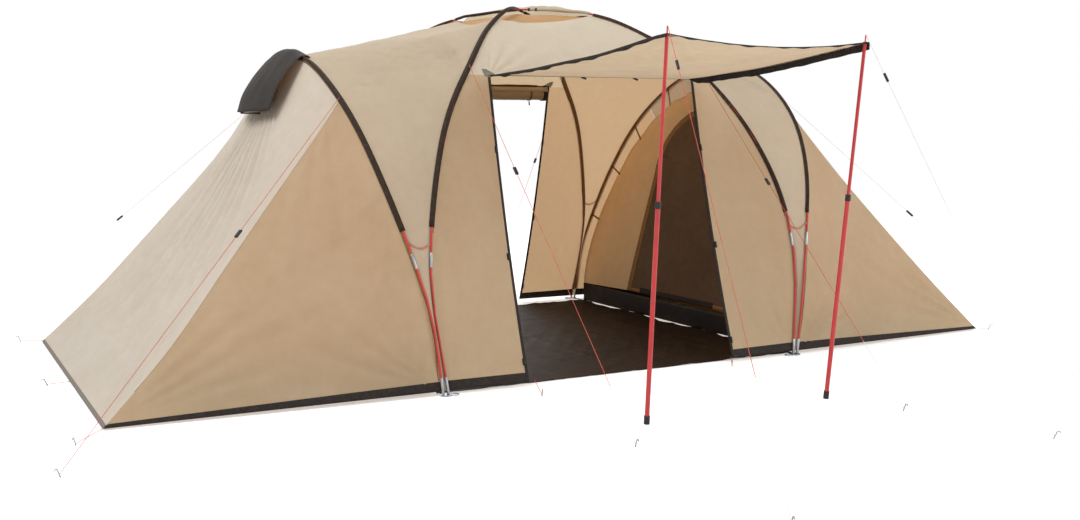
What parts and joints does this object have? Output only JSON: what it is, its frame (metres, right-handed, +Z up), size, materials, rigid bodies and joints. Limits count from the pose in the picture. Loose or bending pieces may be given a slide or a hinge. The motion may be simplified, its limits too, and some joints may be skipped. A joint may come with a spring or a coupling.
{
  "type": "cabin dome tent",
  "caption": "Family dome tent with crossed poles, two side bedrooms, a front door raised as an awning on telescopic poles, rolled rear door, vent hoods and pegged guy lines.",
  "frame": {"origin": "on the ground under the middle of the living area, at the underside of its groundsheet", "axes": "+X to the right along the two bedrooms, -Y towards the front door and its awning, +Z up"},
  "size_m": [5.2504, 5.7072, 1.9229],
  "materials": {
    "fibreglass": "smooth reddish brown fibreglass rod with satin sheen",
    "sleeve": "dark brown woven polyester webbing sleeve",
    "wall": "tan coated polyester, matt, lightly puckered",
    "roof": "pale sand coated polyester, matt",
    "vent": "dark grey brown coated polyester hood",
    "inner_fabric": "tan breathable inner tent polyester",
    "inner_mesh": "dark brown fine mesh door",
    "floor": "dark brown woven polyethylene groundsheet",
    "awning_steel": "red powder coated steel tube",
    "pin": "black pole pin and ring",
    "rope": "thin braided polyester guy line",
    "plastic": "black moulded plastic"
  },
  "bodies": {
    "tent": {"arch_pole_left": "fibreglass", "arch_pole_right": "fibreglass", "arch_sleeve_left": "sleeve", "arch_sleeve_right": "sleeve", "cabin_left_end": "wall", "cabin_left_front": "wall", "cabin_left_rear": "wall", "cabin_right_end": "wall", "cabin_right_front": "wall", "cabin_right_rear": "wall", "crown_vent_cover": "roof", "diagonal_pole_lower": "fibreglass", "diagonal_pole_upper": "fibreglass", "diagonal_sleeve_front_left": "sleeve", "diagonal_sleeve_front_right": "sleeve", "diagonal_sleeve_rear_left": "sleeve", "diagonal_sleeve_rear_right": "sleeve", "front_panel": "wall", "guy_rope_arch_front_left": "rope", "guy_rope_arch_front_right": "rope", "guy_rope_arch_rear_left": "rope", "guy_rope_arch_rear_right": "rope", "guy_rope_awning_left": "rope", "guy_rope_awning_right": "rope", "guy_rope_diagonal_front_left": "rope", "guy_rope_diagonal_front_right": "rope", "guy_rope_diagonal_rear_left": "rope", "guy_rope_diagonal_rear_right": "rope", "inner_left_floor": "floor", "inner_left_tent": "inner_fabric", "inner_right_floor": "floor", "inner_right_tent": "inner_fabric", "living_groundsheet": "floor", "pin_and_ring_front_left": "pin", "pin_and_ring_front_right": "pin", "pin_and_ring_rear_left": "pin", "pin_and_ring_rear_right": "pin", "rear_door_roll": "wall", "rear_panel": "wall", "side_roof_left": "roof", "side_roof_right": "roof"},
    "front_door": {"front_door_canopy": "roof"},
    "awning_lower_left": {"awning_pole_lower_left": "awning_steel"},
    "awning_upper_left": {"awning_pole_upper_left": "awning_steel"},
    "hood_left": {"vent_hood_left": "vent"},
    "prop_left": {"vent_prop_left": "plastic"},
    "inner_door_left": {"inner_left_door": "inner_mesh"},
    "awning_lower_right": {"awning_pole_lower_right": "awning_steel"},
    "awning_upper_right": {"awning_pole_upper_right": "awning_steel"},
    "hood_right": {"vent_hood_right": "vent"},
    "prop_right": {"vent_prop_right": "plastic"},
    "inner_door_right": {"inner_right_door": "inner_mesh"},
    "runner_arch_front_left": {"runner_arch_front_left": "plastic"},
    "runner_arch_front_right": {"runner_arch_front_right": "plastic"},
    "runner_arch_rear_left": {"runner_arch_rear_left": "plastic"},
    "runner_arch_rear_right": {"runner_arch_rear_right": "plastic"},
    "runner_diagonal_front_left": {"runner_diagonal_front_left": "plastic"},
    "runner_diagonal_front_right": {"runner_diagonal_front_right": "plastic"},
    "runner_diagonal_rear_left": {"runner_diagonal_rear_left": "plastic"},
    "runner_diagonal_rear_right": {"runner_diagonal_rear_right": "plastic"}
  },
  "joints": [
    {"name": "front_door_swing", "type": "hinge", "parent": "tent", "child": "front_door", "pos_m": [0, -0.8009, 1.475], "axis": [1, 0, 0], "range_deg": [0, 76]},
    {"name": "awning_pole_left_tilt", "type": "hinge", "parent": "tent", "child": "awning_lower_left", "pos_m": [-0.5072, -2.07215, 0.01194], "axis": [1, 0, 0], "range_deg": [0, 84], "deforming": ["guy_rope_awning_left"]},
    {"name": "awning_pole_left_length", "type": "slide", "parent": "awning_lower_left", "child": "awning_upper_left", "axis": [0.0164, 0.0963, -0.9952], "range_m": [0, 0.5]},
    {"name": "vent_hood_left_swing", "type": "hinge", "parent": "tent", "child": "hood_left", "pos_m": [-1.3928, 0, 1.577], "axis": [0, -1, 0], "range_deg": [0, 5]},
    {"name": "vent_prop_left_fold", "type": "hinge", "parent": "tent", "child": "prop_left", "pos_m": [-1.5259, 0, 1.29156], "axis": [0, -1, 0], "range_deg": [0, 60]},
    {"name": "inner_left_door_swing", "type": "hinge", "parent": "tent", "child": "inner_door_left", "pos_m": [-1.06916, 0.5291, 0.1359], "axis": [-0.2169, -0.0718, 0.9736], "range_deg": [0, 90]},
    {"name": "awning_pole_right_tilt", "type": "hinge", "parent": "tent", "child": "awning_lower_right", "pos_m": [0.4632, -2.07215, 0.01194], "axis": [1, 0, 0], "range_deg": [0, 84], "deforming": ["guy_rope_awning_right"]},
    {"name": "awning_pole_right_length", "type": "slide", "parent": "awning_lower_right", "child": "awning_upper_right", "axis": [-0.0164, 0.0963, -0.9952], "range_m": [0, 0.5]},
    {"name": "vent_hood_right_swing", "type": "hinge", "parent": "tent", "child": "hood_right", "pos_m": [1.3928, 0, 1.577], "axis": [0, 1, 0], "range_deg": [0, 5]},
    {"name": "vent_prop_right_fold", "type": "hinge", "parent": "tent", "child": "prop_right", "pos_m": [1.5259, 0, 1.29156], "axis": [0, 1, 0], "range_deg": [0, 60]},
    {"name": "inner_right_door_swing", "type": "hinge", "parent": "tent", "child": "inner_door_right", "pos_m": [1.06916, 0.5291, 0.1359], "axis": [-0.2169, 0.0718, -0.9736], "range_deg": [0, 90]},
    {"name": "runner_arch_front_left_slide", "type": "slide", "parent": "tent", "child": "runner_arch_front_left", "axis": [-0.639, -0.4634, -0.614], "range_m": [-0.25, 0.35]},
    {"name": "runner_arch_front_right_slide", "type": "slide", "parent": "tent", "child": "runner_arch_front_right", "axis": [0.3194, -0.705, -0.6331], "range_m": [-0.25, 0.35]},
    {"name": "runner_arch_rear_left_slide", "type": "slide", "parent": "tent", "child": "runner_arch_rear_left", "axis": [-0.639, 0.4634, -0.614], "range_m": [-0.25, 0.35]},
    {"name": "runner_arch_rear_right_slide", "type": "slide", "parent": "tent", "child": "runner_arch_rear_right", "axis": [0.5007, 0.5863, -0.6368], "range_m": [-0.25, 0.35]},
    {"name": "runner_diagonal_front_left_slide", "type": "slide", "parent": "tent", "child": "runner_diagonal_front_left", "axis": [-0.023, -0.7258, -0.6875], "range_m": [-0.25, 0.35]},
    {"name": "runner_diagonal_front_right_slide", "type": "slide", "parent": "tent", "child": "runner_diagonal_front_right", "axis": [-0.046, -0.7388, -0.6724], "range_m": [-0.25, 0.35]},
    {"name": "runner_diagonal_rear_left_slide", "type": "slide", "parent": "tent", "child": "runner_diagonal_rear_left", "axis": [-0.0298, 0.7264, -0.6867], "range_m": [-0.25, 0.35]},
    {"name": "runner_diagonal_rear_right_slide", "type": "slide", "parent": "tent", "child": "runner_diagonal_rear_right", "axis": [0.1121, 0.7069, -0.6984], "range_m": [-0.25, 0.35]}
  ],
  "couplings": [
    {"joint": "awning_pole_left_tilt", "follows": "front_door_swing", "ratio": 1.1053},
    {"joint": "vent_prop_left_fold", "follows": "vent_hood_left_swing", "ratio": 12},
    {"joint": "awning_pole_right_tilt", "follows": "front_door_swing", "ratio": 1.1053},
    {"joint": "vent_prop_right_fold", "follows": "vent_hood_right_swing", "ratio": 12}
  ]
}
